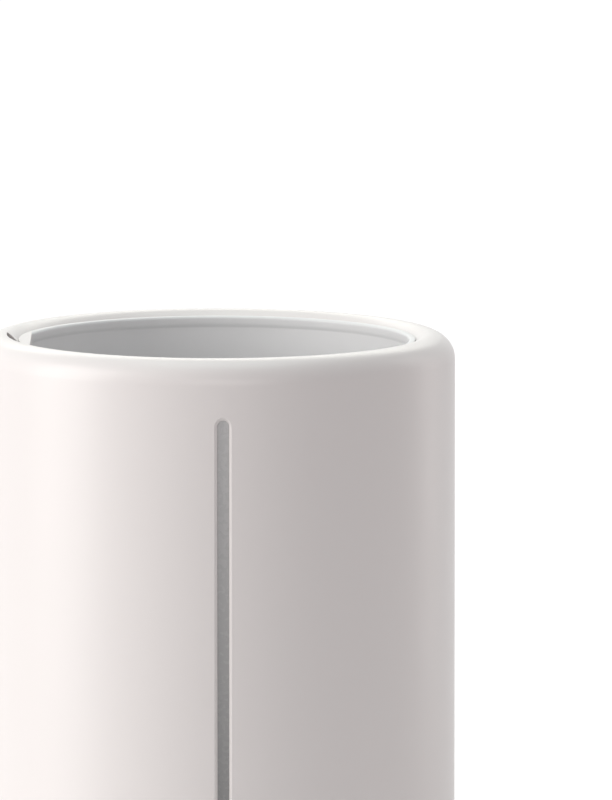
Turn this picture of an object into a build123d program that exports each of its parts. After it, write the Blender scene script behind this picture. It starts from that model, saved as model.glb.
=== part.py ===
"""Top-fill cool mist humidifier: a base with the fan and the ultrasonic disc, a lift-off tank, a loose lid.

Millimetres. Origin at the centre of the foot's underside, +Z up, the front (button) faces -Y.
"""

from build123d import *
from math import atan2, cos, degrees, radians, sin, sqrt
import os

# ---- overall sizes ----
body_r = 95.0  # outside of base and tank
total_h = 315.0  # foot to the crest of the tank's rim
base_h = 72.0  # foot to the base's top edge

# ---- clearances ----
seat_gap = 0.3  # between pieces that rest on or lift off each other
slide_gap = 0.4  # round pieces that slide freely
bearing_gap = 0.05  # shaft in its bearing, on the radius
fit_gap = 0.1  # glued or clipped pieces
weld = 1.0  # how far joined shapes run into each other, and cuts run past a face

# ---- outer shells ----
shell_wall = 2.5
foot_h = 4.5
foot_w = 7.0
foot_inset = 9.0
foot_gap_angle = 50.0
plate_t = 2.5
edge_round = 2.0
seam_break = 0.8  # broken edge where base and tank meet
vent_rows = 9
vent_share = 0.5  # open share of each row of intake slots

# ---- tank rim ----
crest_inset = 10.1  # wall's outside to the crest
dish_drop = 2.9  # crest down to the rim's inner edge
rim_t = 2.2
lip_h = 1.4
lip_t = 1.6
bead_drop = 2.2  # crest down to the top of the tank's bead
bead_in = 0.8  # how far the bead stands inside the tank's wall
bead_chamfer = 0.9
bead_corner = 0.5
bead_foot = 2.0
crease_drop = 7.0  # crest down to the bead's lower end

# ---- tank inside ----
tank_gap = 17.6  # shell's outside to the tank's inner wall
tank_wall = 1.8
tank_floor_t = 2.5
flat_cut = 3.1  # how far the tank's flat side cuts into its round wall
tank_plate_t = 2.5
skirt_h = 6.0
skirt_t = 1.6
plate_lift = 1.5  # tank's bottom edge up to its plate

# ---- mist path ----
duct_wall = 1.0
outlet_round = 1.8
outlet_w = 5.0  # widest part of the crescent slot in the rim
outlet_start = -2.4  # angles from -X, towards the front
outlet_end = 30.0
duct_drop = 1.0  # top of the duct, below the rim's round

# ---- water level window ----
window_w = 4.6
window_bevel = 1.2
window_top = 23.6  # below the crest
window_foot = 24.0  # above the base
window_x = 3.0
window_recess = 1.4
window_t = 1.5
flange_w = 2.5  # how far the strip reaches past its slot
window_gap = 0.05
window_lead = 0.1  # how far outside the wall its bevel starts

# ---- basin ----
basin_depth = 20.0
basin_wall = 1.8
well_r = 19.0
well_depth = 10.0
well_at = 0.62  # share of the shell's inner radius, towards -X
riser_r = 13.0
riser_h = 13.0
post_r = 3.0
float_post_r = 2.6
float_r = 9.0
float_h = 9.0
float_travel = 8.0
float_stop = 1.4  # post's top above the lifted float
magnet_in = 1.0  # float's bore to its magnet
magnet_w = 2.0
magnet_h = 3.0
magnet_up = 2.0
post_round = 0.6

# ---- valve ----
port_r = 6.0
seat_r = 12.0
stem_r = 1.5
poppet_r = 8.0
poppet_t = 1.6
washer_t = 1.0
valve_travel = 4.0
collar_r = 4.4
collar_t = 1.4
seat_flange = 3.0
seat_t = 1.2
guide_t = 2.0
guide_w = 1.9
guide_drop = 0.5
spoke_w = 1.6
washer_w = 0.8  # washer's edge past the poppet
stem_down = 5.7  # plunger's end below the base's top edge
spring_clear = 0.6
spring_wire = 0.7
spring_turns = 3.0

# ---- fan ----
fan_size = 60.0
fan_t = 15.0
fan_bore = 27.0
fan_hub_r = 12.0
blade_count = 7
blade_t = 1.2
tip_gap = 0.8
fan_corner = 4.0
hub_base_t = 2.0
hub_wall = 1.4
hub_gap = 0.8
bearing_r = 3.4
bearing_h = 6.0
strut_w = 3.0
blade_pitch = 38.0
blade_chord = 11.5
shaft_r = 1.5
shaft_floor = 0.8
filter_t = 3.0
filter_edge = 1.5
duct_step = 2.0  # air duct's straight ends

# ---- ultrasonic disc and boards ----
disc_r = 10.0
disc_t = 1.2
seal_r = 12.5
clamp_r = 16.5
clamp_t = 5.0
clamp_lip = 3.0
groove_w = 0.7
groove_deep = 1.2
groove_step = 1.4
board_w = 46.0
board_d = 36.0
board_t = 1.6
board_gap = 2.5  # to the screw bosses
board_lift = 4.0
leg_r = 2.2
leg_inset = 3.0
can_r = 3.2
can_h = 8.0
can_step = 7.5
sink_w = 16.0
sink_d = 18.0
sink_t = 1.6
fin_h = 6.0
fin_t = 1.2
fin_step = 3.4

# ---- button and inlet ----
button_r = 8.0
button_proud = 1.2
button_travel = 1.2
button_t = 4.0
button_round = 0.8
stud_r = 2.5
stud_l = 3.0
panel_w = 30.0
panel_h = 20.0
panel_arm = 4.0
light_w = 2.0
light_proud = 0.2
inlet_w = 24.0
inlet_h = 15.0
inlet_d = 16.0
socket_w = 15.4
socket_h = 8.4
socket_d = 12.0
inlet_round = 3.0
inlet_in = 0.8  # inlet's face inside the wall
pin_short = 2.5  # pins' ends inside the socket's mouth
pin_r = 1.2
pin_pitch = 8.6

# ---- screws ----
screw_r = 1.5
screw_head_r = 3.0
screw_head_h = 1.6
boss_r = 5.0
boss_extra = 2.0
web_t = 3.0
screw_len = 9.0
screw_gap = 0.3
recess_w = 0.9
recess_l = 4.0
recess_deep = 0.8

# ---- lid ----
lid_t = 2.6
lid_rib_h = 9.0
lid_rib_t = 1.8
lid_space = 24.0  # between the body and the lid where it lies
gasket_t = 1.4
gasket_w = 2.4
gasket_bite = 0.8  # how deep the gasket sits in the rib
gasket_up = 5.0
lid_round = 1.0
grip_w = 26.0
grip_d = 12.0
grip_deep = 1.4
grip_at = 0.72  # share of the lid's radius

# ---- sizes that follow ----
shell_in = body_r - shell_wall
plate_z = foot_h
plate_top = plate_z + plate_t
tank_z = base_h + seat_gap
tank_in = body_r - tank_gap
tank_out = tank_in + tank_wall
flat_x = tank_in - flat_cut
flat_out = flat_x + tank_wall
rim_edge = tank_out + fit_gap
rim_crest = body_r - crest_inset
edge_z = total_h - dish_drop
bead_z = total_h - bead_drop
crease_z = total_h - crease_drop
bead_r = tank_in - bead_in
outlet_r = rim_crest - weld
tank_plate_z = tank_z + plate_lift
floor_z = tank_plate_z + tank_plate_t
floor_top = floor_z + tank_floor_t
outlet_z = crease_z  # underside of the outlet's cover
basin_floor = base_h - basin_depth
basin_under = basin_floor - basin_wall
basin_out = shell_in - fit_gap
basin_in = basin_out - basin_wall
basin_top = base_h - seat_gap
well_x = -well_at * shell_in
well_floor = basin_floor - well_depth
well_under = well_floor - basin_wall
fan_x = 0.45 * shell_in
fan_z = plate_top + filter_t
fan_top = fan_z + fan_t
screw_ring = 0.84 * shell_in
button_z = 0.36 * base_h
board_x = -0.30 * shell_in
board_y = screw_ring * sin(radians(60)) - boss_r - board_gap - board_d / 2
float_x = 0.0
float_y = -0.45 * shell_in
stem_low = base_h - stem_down
duct_out = shell_in - fit_gap
duct_in = duct_out - duct_wall
duct_flat = flat_out + duct_wall
duct_top = total_h - crest_inset - duct_drop
spring_r = stem_r + slide_gap + spring_wire / 2 + spring_clear
lid_r = rim_edge - seat_gap
lid_x = body_r + lid_space + lid_r
rib_out = flat_x - weld
lid_z = lid_rib_h
window_z0 = base_h + window_foot
window_z1 = total_h - window_top
window_mid = (window_x, (window_z0 + window_z1) / 2)

os.makedirs("parts", exist_ok=True)


def save(builder, name):
    """Label the finished piece and write it as its own file."""
    builder.part.label = name
    export_step(builder.part, f"parts/{name}.step")


def level(z):
    """The horizontal plane at height z."""
    return Plane.XY.offset(z)


def ring(z, height, outer, inner, mode=Mode.ADD, x=0.0, y=0.0):
    """Extrude a ring about the vertical line at x, y."""
    with BuildSketch(level(z)) as section:
        with Locations((x, y)):
            Circle(outer)
            Circle(inner, mode=Mode.SUBTRACT)
    extrude(section.sketch, amount=height, mode=mode)


def disc(z, height, radius, mode=Mode.ADD, x=0.0, y=0.0):
    """Extrude a disc about the vertical line at x, y."""
    with BuildSketch(level(z)) as section:
        with Locations((x, y)):
            Circle(radius)
    extrude(section.sketch, amount=height, mode=mode)


def block(z, height, width, depth, mode=Mode.ADD, x=0.0, y=0.0):
    """Extrude a rectangle centred on x, y."""
    with BuildSketch(level(z)) as section:
        with Locations((x, y)):
            Rectangle(width, depth)
    extrude(section.sketch, amount=height, mode=mode)


def front_disc(y, length, radius, mode=Mode.ADD, z=button_z):
    """Extrude a disc along +Y, starting at y, about the button's axis."""
    with BuildSketch(Plane.XZ.offset(-y)) as section:
        with Locations((0, z)):
            Circle(radius)
    extrude(section.sketch, amount=-length, mode=mode)


def duct_prism(z, height, radius, flat, mode=Mode.ADD):
    """Extrude the D-shaped area outside the flat side at x = -flat and inside a circle."""
    half = sqrt(radius**2 - flat**2)
    with BuildSketch(level(z)) as section:
        with BuildLine():
            Line((-flat, half), (-flat, -half))
            ThreePointArc((-flat, -half), (-radius, 0), (-flat, half))
        make_face()
    extrude(section.sketch, amount=height, mode=mode)


def at_angle(radius, angle):
    """The point at a radius and an angle in degrees from -X, towards the front."""
    return (-radius * cos(radians(angle)), -radius * sin(radians(angle)))


screw_places = [
    (screw_ring * cos(radians(a)), screw_ring * sin(radians(a))) for a in (60, 120, 240, 300)
]

# ================= base =================

foot_out = shell_in - foot_inset
with BuildPart() as foot_ring:
    with BuildSketch(level(0)):
        Circle(foot_out)
        Circle(foot_out - foot_w, mode=Mode.SUBTRACT)
        half_gap = foot_out * sin(radians(foot_gap_angle / 2))
        with Locations((0, foot_out)):
            Rectangle(2 * half_gap, foot_out, mode=Mode.SUBTRACT)
    extrude(amount=foot_h)
save(foot_ring, "foot_ring")

with BuildPart() as bottom_plate:
    disc(plate_z, plate_t, shell_in - fit_gap)
    with BuildSketch(level(plate_z)) as slots:
        slot_step = 2 * fan_bore / vent_rows
        for row in range(vent_rows):
            off = (row - (vent_rows - 1) / 2) * slot_step
            reach = sqrt((fan_bore - weld) ** 2 - off**2)
            with Locations((fan_x, off)):
                SlotOverall(2 * reach, slot_step * vent_share)
    extrude(slots.sketch, amount=plate_t, mode=Mode.SUBTRACT)
    with BuildSketch(level(plate_z)) as holes:
        with Locations(*screw_places):
            Circle(screw_r + screw_gap)
    extrude(holes.sketch, amount=plate_t, mode=Mode.SUBTRACT)
    with BuildSketch(level(plate_z)) as heads:
        with Locations(*screw_places):
            Circle(screw_head_r + screw_gap)
    extrude(heads.sketch, amount=screw_head_h, mode=Mode.SUBTRACT)
save(bottom_plate, "bottom_plate")

with BuildPart() as base_screws:
    for place in screw_places:
        disc(plate_z, screw_head_h, screw_head_r, x=place[0], y=place[1])
        disc(plate_z + screw_head_h, screw_len, screw_r, x=place[0], y=place[1])
        block(plate_z, recess_deep, recess_w, recess_l, Mode.SUBTRACT, x=place[0], y=place[1])
        block(plate_z, recess_deep, recess_l, recess_w, Mode.SUBTRACT, x=place[0], y=place[1])
save(base_screws, "base_screws")

with BuildPart() as base_housing:
    with BuildSketch(Plane.XZ):
        with BuildLine():
            Polyline(
                (shell_in, plate_z),
                (body_r - edge_round, plate_z),
                (body_r, plate_z + edge_round),
                (body_r, base_h - seam_break),
                (body_r - seam_break, base_h),
                (shell_in, base_h),
                close=True,
            )
        make_face()
    revolve(axis=Axis.Z)
    for place in screw_places:
        ring(plate_top, screw_len + boss_extra, boss_r, screw_r + bearing_gap, x=place[0], y=place[1])
        reach = degrees(atan2(place[1], place[0]))
        web_start = screw_ring + boss_r - weld
        web_end = shell_in + weld
        with BuildSketch(level(plate_top)) as web:
            with PolarLocations((web_start + web_end) / 2, 1, reach):
                Rectangle(web_end - web_start, web_t)
        extrude(web.sketch, amount=screw_len + boss_extra)
    hole_r = button_r + slide_gap + light_w + fit_gap
    hole_back = sqrt(shell_in**2 - hole_r**2) - weld
    front_disc(-body_r - weld, body_r + weld - hole_back, hole_r, Mode.SUBTRACT)
    inlet_back = sqrt(shell_in**2 - (inlet_w / 2 + fit_gap) ** 2) - weld
    with BuildSketch(Plane.XZ.offset(-inlet_back)) as inlet_hole:
        with Locations((0, button_z)):
            RectangleRounded(inlet_w + 2 * fit_gap, inlet_h + 2 * fit_gap, inlet_round)
    extrude(inlet_hole.sketch, amount=-(body_r + weld - inlet_back), mode=Mode.SUBTRACT)
save(base_housing, "base_housing")

with BuildPart() as intake_filter:
    disc(plate_top, filter_t - fit_gap, fan_bore + filter_edge, x=fan_x)
save(intake_filter, "intake_filter")

with BuildPart() as fan_housing:
    with BuildSketch(level(fan_z)):
        with Locations((fan_x, 0)):
            RectangleRounded(fan_size, fan_size, fan_corner)
            Circle(fan_bore, mode=Mode.SUBTRACT)
    extrude(amount=fan_t)
    disc(fan_z, hub_base_t, fan_hub_r, x=fan_x)
    disc(fan_z + hub_base_t, bearing_h, bearing_r, x=fan_x)
    with BuildSketch(level(fan_z)) as struts:
        with Locations((fan_x, 0)):
            with PolarLocations((fan_hub_r + fan_bore) / 2, 3, 30):
                Rectangle(fan_bore - fan_hub_r + 2 * weld, strut_w)
    extrude(struts.sketch, amount=hub_base_t)
    disc(fan_z + shaft_floor, fan_t, shaft_r + bearing_gap, Mode.SUBTRACT, x=fan_x)
save(fan_housing, "fan_housing")

hub_z = fan_z + hub_base_t + hub_gap
hub_top = fan_top - weld
socket_z = hub_top - 2 * hub_base_t
with BuildPart() as fan_impeller:
    disc(hub_z, hub_top - hub_z, fan_hub_r, x=fan_x)
    disc(hub_z, hub_top - hub_z - hub_base_t, fan_hub_r - hub_wall, Mode.SUBTRACT, x=fan_x)
    disc(socket_z, hub_base_t, shaft_r + hub_wall, x=fan_x)
    disc(socket_z - weld, hub_top - shaft_r - socket_z + weld, shaft_r, Mode.SUBTRACT, x=fan_x)
    blade_root = fan_hub_r - weld
    tip_r = fan_bore - tip_gap
    blade_half = (blade_chord * cos(radians(blade_pitch)) + blade_t) / 2
    blade_len = sqrt(tip_r**2 - blade_half**2) - blade_root
    for number in range(blade_count):
        spin = 360 / blade_count * number
        radial = Plane(
            origin=(
                fan_x + blade_root * cos(radians(spin)),
                blade_root * sin(radians(spin)),
                (hub_z + hub_top) / 2,
            ),
            x_dir=(-sin(radians(spin)), cos(radians(spin)), 0),
            z_dir=(cos(radians(spin)), sin(radians(spin)), 0),
        )
        with BuildSketch(radial) as root:
            Rectangle(blade_chord, blade_t, rotation=blade_pitch)
        extrude(root.sketch, amount=blade_len)
save(fan_impeller, "fan_impeller")

with BuildPart() as fan_shaft:
    shaft_z = fan_z + shaft_floor + fit_gap
    disc(shaft_z, hub_top - shaft_r - shaft_z, shaft_r, x=fan_x)
save(fan_shaft, "fan_shaft")

with BuildPart() as air_duct:
    with BuildSketch(Plane.XZ):
        with BuildLine():
            Polyline(
                (fan_bore + basin_wall, fan_top),
                (fan_bore + basin_wall, fan_top + duct_step),
                (riser_r + basin_wall, basin_under),
                (riser_r, basin_under),
                (riser_r, basin_under - duct_step),
                (fan_bore, fan_top + duct_step),
                (fan_bore, fan_top),
                close=True,
            )
        make_face()
    revolve(axis=Axis.Z)
air_duct.part.position = (fan_x, 0, 0)
save(air_duct, "air_duct")

with BuildPart() as water_basin:
    disc(basin_under, basin_wall, basin_out)
    disc(basin_under, basin_wall, well_r + basin_wall, Mode.SUBTRACT, x=well_x)
    disc(basin_under, basin_wall, riser_r + basin_wall, Mode.SUBTRACT, x=fan_x)
save(water_basin, "water_basin")

with BuildPart() as basin_rim:
    ring(basin_floor, basin_top - basin_floor, basin_out, basin_in)
save(basin_rim, "basin_rim")

with BuildPart() as disc_well:
    disc(well_under, basin_floor - well_under, well_r + basin_wall, x=well_x)
    disc(well_floor, basin_floor - well_floor, well_r, Mode.SUBTRACT, x=well_x)
    disc(well_under, basin_wall, disc_r - weld, Mode.SUBTRACT, x=well_x)
save(disc_well, "disc_well")

with BuildPart() as air_riser:
    ring(basin_under, basin_wall + riser_h, riser_r + basin_wall, riser_r, x=fan_x)
save(air_riser, "air_riser")

with BuildPart() as valve_post:
    disc(basin_floor, stem_low - seat_gap - basin_floor, post_r)
    fillet(valve_post.edges().filter_by(GeomType.CIRCLE).sort_by(Axis.Z)[-1], post_round)
save(valve_post, "valve_post")

with BuildPart() as float_post:
    disc(basin_floor, float_h + float_travel + float_stop, float_post_r, x=float_x, y=float_y)
    fillet(float_post.edges().filter_by(GeomType.CIRCLE).sort_by(Axis.Z)[-1], post_round)
save(float_post, "float_post")

with BuildPart() as nebuliser_disc:
    disc(well_under - disc_t, disc_t, disc_r, x=well_x)
save(nebuliser_disc, "nebuliser_disc")

with BuildPart() as disc_seal:
    ring(well_under - disc_t, disc_t, seal_r, disc_r, x=well_x)
save(disc_seal, "disc_seal")

clamp_z = well_under - disc_t - clamp_t
with BuildPart() as nebuliser_clamp:
    ring(clamp_z, clamp_t, clamp_r, disc_r - clamp_lip, x=well_x)
    for row in range(3):
        groove = clamp_z + (row + 0.5) * groove_step
        ring(groove, groove_w, clamp_r, clamp_r - groove_deep, Mode.SUBTRACT, x=well_x)
save(nebuliser_clamp, "nebuliser_clamp")

with BuildPart() as driver_board:
    block(plate_top + board_lift, board_t, board_w, board_d, x=board_x, y=board_y)
    for side_x in (-1, 1):
        for side_y in (-1, 1):
            at_x = board_x + side_x * (board_w / 2 - leg_inset)
            at_y = board_y + side_y * (board_d / 2 - leg_inset)
            disc(plate_top, board_lift, leg_r, x=at_x, y=at_y)
save(driver_board, "driver_board")

board_top = plate_top + board_lift + board_t
row_y = board_y + board_d / 2 - leg_inset - can_r
with BuildPart() as board_parts:
    for column in range(3):
        disc(board_top, can_h - column, can_r, x=board_x + can_r + column * can_step, y=row_y)
    block(board_top, board_lift, board_w / 4, board_d / 4, x=board_x + board_w / 4, y=board_y - board_d / 6)
save(board_parts, "board_parts")

with BuildPart() as board_heatsink:
    sink_x = board_x - board_w / 4
    block(board_top, sink_t, sink_w, sink_d, x=sink_x, y=board_y)
    for fin in range(5):
        block(board_top + sink_t, fin_h, fin_t, sink_d, x=sink_x + (fin - 2) * fin_step, y=board_y)
save(board_heatsink, "board_heatsink")

cap_front = -body_r - button_proud
light_front = -body_r - light_proud
with BuildPart() as light_ring:
    front_disc(light_front, button_t, button_r + slide_gap + light_w)
    front_disc(light_front - weld, button_t + 2 * weld, button_r + slide_gap, Mode.SUBTRACT)
save(light_ring, "light_ring")

stem_y = cap_front + button_t
board_y0 = stem_y + stud_l + button_travel + seat_gap
with BuildPart() as button_board:
    with BuildSketch(Plane.XZ.offset(-board_y0)) as panel:
        with Locations((0, button_z)):
            Rectangle(panel_w, panel_h)
    extrude(panel.sketch, amount=-board_t)
    panel_foot = button_z - panel_h / 2
    for side in (-1, 1):
        with BuildSketch(Plane.XZ.offset(-board_y0 - board_t)) as arm:
            with Locations((side * (panel_w / 2 - panel_arm), (panel_foot + plate_top) / 2)):
                Rectangle(panel_arm, panel_foot - plate_top)
        extrude(arm.sketch, amount=board_t)
save(button_board, "button_board")

with BuildPart() as power_button:
    front_disc(cap_front, button_t, button_r)
    front_disc(stem_y, stud_l, stud_r)
    caps = power_button.edges().filter_by(GeomType.CIRCLE).group_by(Axis.Y)[0]
    fillet(caps, button_round)
save(power_button, "power_button")

inlet_y = body_r - inlet_in
with BuildPart() as power_inlet:
    with BuildSketch(Plane.XZ.offset(-(inlet_y - inlet_d))) as shell_box:
        with Locations((0, button_z)):
            RectangleRounded(inlet_w, inlet_h, inlet_round - fit_gap)
    extrude(shell_box.sketch, amount=-inlet_d)
    with BuildSketch(Plane.XZ.offset(-(inlet_y - socket_d))) as socket:
        with Locations((0, button_z)):
            SlotOverall(socket_w, socket_h)
    extrude(socket.sketch, amount=-socket_d, mode=Mode.SUBTRACT)
save(power_inlet, "power_inlet")

with BuildPart() as inlet_pins:
    with BuildSketch(Plane.XZ.offset(-(inlet_y - socket_d))) as pin_pair:
        with Locations((-pin_pitch / 2, button_z), (pin_pitch / 2, button_z)):
            Circle(pin_r)
    extrude(pin_pair.sketch, amount=-(socket_d - pin_short))
save(inlet_pins, "inlet_pins")

# ================= float =================

float_bore = float_post_r + slide_gap
float_z = basin_floor + seat_gap
magnet_r = float_bore + magnet_in
magnet_z = float_z + magnet_up
with BuildPart() as float_ring:
    ring(float_z, float_h, float_r, float_bore, x=float_x, y=float_y)
    ring(magnet_z, magnet_h, magnet_r + magnet_w, magnet_r, Mode.SUBTRACT, x=float_x, y=float_y)
save(float_ring, "float_ring")

with BuildPart() as float_magnet:
    ring(magnet_z, magnet_h, magnet_r + magnet_w, magnet_r, x=float_x, y=float_y)
save(float_magnet, "float_magnet")

# ================= tank =================

with BuildPart() as tank_shell:
    with BuildSketch(Plane.XZ):
        with BuildLine():
            Polyline((shell_in, tank_z), (body_r - seam_break, tank_z), (body_r, tank_z + seam_break))
            Line((body_r, tank_z + seam_break), (body_r, total_h - crest_inset))
            CenterArc((rim_crest, total_h - crest_inset), crest_inset, 0, 90)
            ThreePointArc(
                (rim_crest, total_h),
                ((rim_crest + rim_edge) / 2, total_h - dish_drop * 0.33),
                (rim_edge, edge_z),
            )
            Polyline(
                (rim_edge, edge_z),
                (rim_edge, edge_z - rim_t - lip_h),
                (rim_edge + lip_t, edge_z - rim_t - lip_h),
                (rim_edge + lip_t, edge_z - rim_t + 0.4),
            )
            ThreePointArc(
                (rim_edge + lip_t, edge_z - rim_t + 0.4),
                (
                    rim_crest + (crest_inset - shell_wall) * sin(radians(40)),
                    total_h - crest_inset + (crest_inset - shell_wall) * cos(radians(40)),
                ),
                (shell_in, total_h - crest_inset - duct_drop),
            )
            Line((shell_in, total_h - crest_inset - duct_drop), (shell_in, tank_z))
        make_face()
    revolve(axis=Axis.Z)
    with BuildSketch(Plane.XZ) as window_hole:
        with Locations(window_mid):
            SlotOverall(window_z1 - window_z0, window_w, rotation=90)
    extrude(window_hole.sketch, amount=body_r + weld, mode=Mode.SUBTRACT)
    window_face = Plane(origin=(0, -body_r - window_lead, 0), x_dir=(1, 0, 0), z_dir=(0, 1, 0))
    with BuildSketch(window_face) as window_mouth:
        with Locations((window_mid[0], -window_mid[1])):
            mouth = 2 * (window_bevel + window_lead)
            SlotOverall(window_z1 - window_z0 + mouth, window_w + mouth, rotation=90)
    extrude(window_mouth.sketch, amount=window_bevel + window_lead, taper=45, mode=Mode.SUBTRACT)
    middle = (outlet_start + outlet_end) / 2
    start = at_angle(outlet_r, outlet_start)
    end = at_angle(outlet_r, outlet_end)
    with BuildSketch(level(total_h - crest_inset)) as crescent:
        with BuildLine():
            ThreePointArc(start, at_angle(outlet_r, middle), end)
            ThreePointArc(end, at_angle(outlet_r - outlet_w, middle), start)
        make_face()
    extrude(crescent.sketch, amount=crest_inset, mode=Mode.SUBTRACT)
save(tank_shell, "tank_shell")

with BuildPart() as window_flange:
    with BuildSketch(Plane.XZ):
        with Locations(window_mid):
            SlotOverall(
                window_z1 - window_z0 + 2 * flange_w, window_w + 2 * flange_w, rotation=90
            )
    extrude(amount=body_r)
    ring(tank_z, total_h, shell_in, shell_in - window_t, Mode.INTERSECT)
with BuildPart() as level_window:
    with BuildSketch(Plane.XZ):
        with Locations(window_mid):
            SlotOverall(window_z1 - window_z0 - 2 * window_gap, window_w - 2 * window_gap, rotation=90)
    extrude(amount=body_r)
    ring(tank_z, total_h, body_r - window_recess, shell_in, Mode.INTERSECT)
    add(window_flange.part)
save(level_window, "level_window")

with BuildPart() as bead_ring:
    with BuildSketch(Plane.XZ):
        with BuildLine():
            Polyline(
                (tank_in, crease_z),
                (tank_out, crease_z),
                (tank_out, bead_z - bead_corner),
                (tank_out - bead_corner, bead_z),
                (bead_r + bead_chamfer, bead_z),
                (bead_r, bead_z - bead_chamfer),
                (bead_r, crease_z + bead_foot),
                close=True,
            )
        make_face()
    revolve(axis=Axis.Z)
    block(crease_z, bead_z, body_r, 2 * body_r, Mode.SUBTRACT, x=-flat_x - body_r / 2)
with BuildPart() as tank_liner:
    with BuildSketch(level(floor_top)):
        Circle(tank_out)
        Circle(tank_in, mode=Mode.SUBTRACT)
        with Locations((-(flat_x + flat_out) / 2, 0)):
            Rectangle(flat_out - flat_x, 2 * sqrt(tank_out**2 - flat_x**2))
        Circle(tank_out, mode=Mode.INTERSECT)
        with Locations((-flat_out - body_r / 2, 0)):
            Rectangle(body_r, 2 * body_r, mode=Mode.SUBTRACT)
    extrude(amount=crease_z - floor_top)
    add(bead_ring.part)
save(tank_liner, "tank_liner")

with BuildPart() as tank_floor:
    disc(floor_z, tank_floor_t, tank_out)
    block(floor_z, tank_floor_t, body_r, 2 * body_r, Mode.SUBTRACT, x=-flat_out - body_r / 2)
    disc(floor_z, tank_floor_t, seat_r, Mode.SUBTRACT)
save(tank_floor, "tank_floor")

with BuildPart() as mist_outlet:
    duct_prism(outlet_z, bead_z - outlet_z, tank_out, flat_x)
    inner_edge = mist_outlet.edges().filter_by(Axis.Y).sort_by(Axis.Z)[-1]
    fillet(inner_edge, outlet_round)
save(mist_outlet, "mist_outlet")

with BuildPart() as mist_duct:
    duct_prism(floor_z, duct_top - floor_z, duct_out, flat_out)
    duct_prism(floor_z, total_h, duct_in, duct_flat, Mode.SUBTRACT)
save(mist_duct, "mist_duct")

skirt_out = basin_in - slide_gap
with BuildPart() as tank_plate:
    disc(tank_plate_z, tank_plate_t, shell_in - fit_gap)
    duct_prism(tank_plate_z, tank_plate_t, skirt_out - skirt_t - seat_gap, duct_flat, Mode.SUBTRACT)
    disc(tank_plate_z, tank_plate_t, seat_r, Mode.SUBTRACT)
save(tank_plate, "tank_plate")

with BuildPart() as tank_skirt:
    ring(tank_plate_z - skirt_h, skirt_h, skirt_out, skirt_out - skirt_t)
save(tank_skirt, "tank_skirt")

guide_z = tank_plate_z - guide_drop
guide_r = stem_r + bearing_gap
with BuildPart() as valve_seat:
    ring(guide_z, floor_top - guide_z, seat_r - bearing_gap, port_r)
    ring(floor_top, seat_t, seat_r + seat_flange, port_r)
    ring(guide_z, guide_t, guide_r + guide_w, guide_r)
    for arm in range(3):
        spin = 90 + arm * 120
        with BuildSketch(level(guide_z)) as spoke:
            with PolarLocations((port_r + guide_r + guide_w) / 2, 1, spin):
                Rectangle(port_r - guide_r - guide_w + weld, spoke_w)
        extrude(spoke.sketch, amount=guide_t)
save(valve_seat, "valve_seat")

seat_top = floor_top + seat_t
washer_z = seat_top + seat_gap + valve_travel
with BuildPart() as valve_plunger:
    disc(stem_low, washer_z + washer_t - stem_low, stem_r)
    disc(stem_low, collar_t, collar_r)
    disc(washer_z + washer_t, poppet_t, poppet_r)
save(valve_plunger, "valve_plunger")

with BuildPart() as valve_washer:
    ring(washer_z, washer_t, poppet_r + washer_w, stem_r)
save(valve_washer, "valve_washer")

spring_low = stem_low + collar_t + spring_wire / 2
spring_high = guide_z - spring_wire / 2
spring_span = spring_high - spring_low
with BuildPart() as valve_spring:
    with BuildLine(level(spring_low)) as coil:
        Helix(pitch=spring_span / spring_turns, height=spring_span, radius=spring_r)
    with BuildSketch(coil.line ^ 0):
        Circle(spring_wire / 2)
    sweep(path=coil.line, is_frenet=True)
save(valve_spring, "valve_spring")

# ================= lid =================

rib_r = rib_out - gasket_w + gasket_bite
with BuildPart() as lid_disc:
    with BuildSketch(level(lid_z)):
        with Locations((lid_x, 0)):
            Circle(lid_r)
    extrude(amount=lid_t)
    top_edge = lid_disc.edges().filter_by(GeomType.CIRCLE).group_by(Axis.Z)[-1]
    fillet(top_edge, lid_round)
    ring(0, lid_rib_h, rib_r, rib_r - lid_rib_t, x=lid_x)
    with BuildSketch(level(lid_z + lid_t - grip_deep)) as grip:
        with Locations((lid_x, -lid_r * grip_at)):
            SlotOverall(grip_w, grip_d)
    extrude(grip.sketch, amount=grip_deep, mode=Mode.SUBTRACT)
save(lid_disc, "lid_disc")

with BuildPart() as lid_gasket:
    ring(gasket_up, gasket_t, rib_out, rib_r, x=lid_x)
save(lid_gasket, "lid_gasket")
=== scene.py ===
"""Looks of a round top-fill cool mist humidifier, laid out as an add-on and run as a script.

Metres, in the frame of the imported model: +Z up, the front faces -Y, the mist outlet is at -X.
"""

import math

import bmesh
import bpy
from bpy.props import FloatProperty, FloatVectorProperty, IntProperty, PointerProperty
from bpy.types import Operator, Panel, PropertyGroup
from mathutils import Matrix, Vector


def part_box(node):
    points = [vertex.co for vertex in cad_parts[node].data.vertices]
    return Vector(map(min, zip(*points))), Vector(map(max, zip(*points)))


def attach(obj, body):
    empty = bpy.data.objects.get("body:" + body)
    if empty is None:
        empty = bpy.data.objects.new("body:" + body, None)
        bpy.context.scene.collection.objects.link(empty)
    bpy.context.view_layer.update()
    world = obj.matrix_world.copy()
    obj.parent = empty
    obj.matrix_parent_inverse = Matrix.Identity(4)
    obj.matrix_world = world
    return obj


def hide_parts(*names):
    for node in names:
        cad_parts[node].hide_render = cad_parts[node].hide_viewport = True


bl_info = {
    "name": "Cool mist humidifier",
    "version": (1, 0, 0),
    "blender": (4, 5, 0),
    "location": "3D View > Sidebar > Humidifier",
    "description": "Builds the tank, base, lid and inner parts of a top-fill humidifier on its packed frame",
    "category": "Add Mesh",
}

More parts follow.
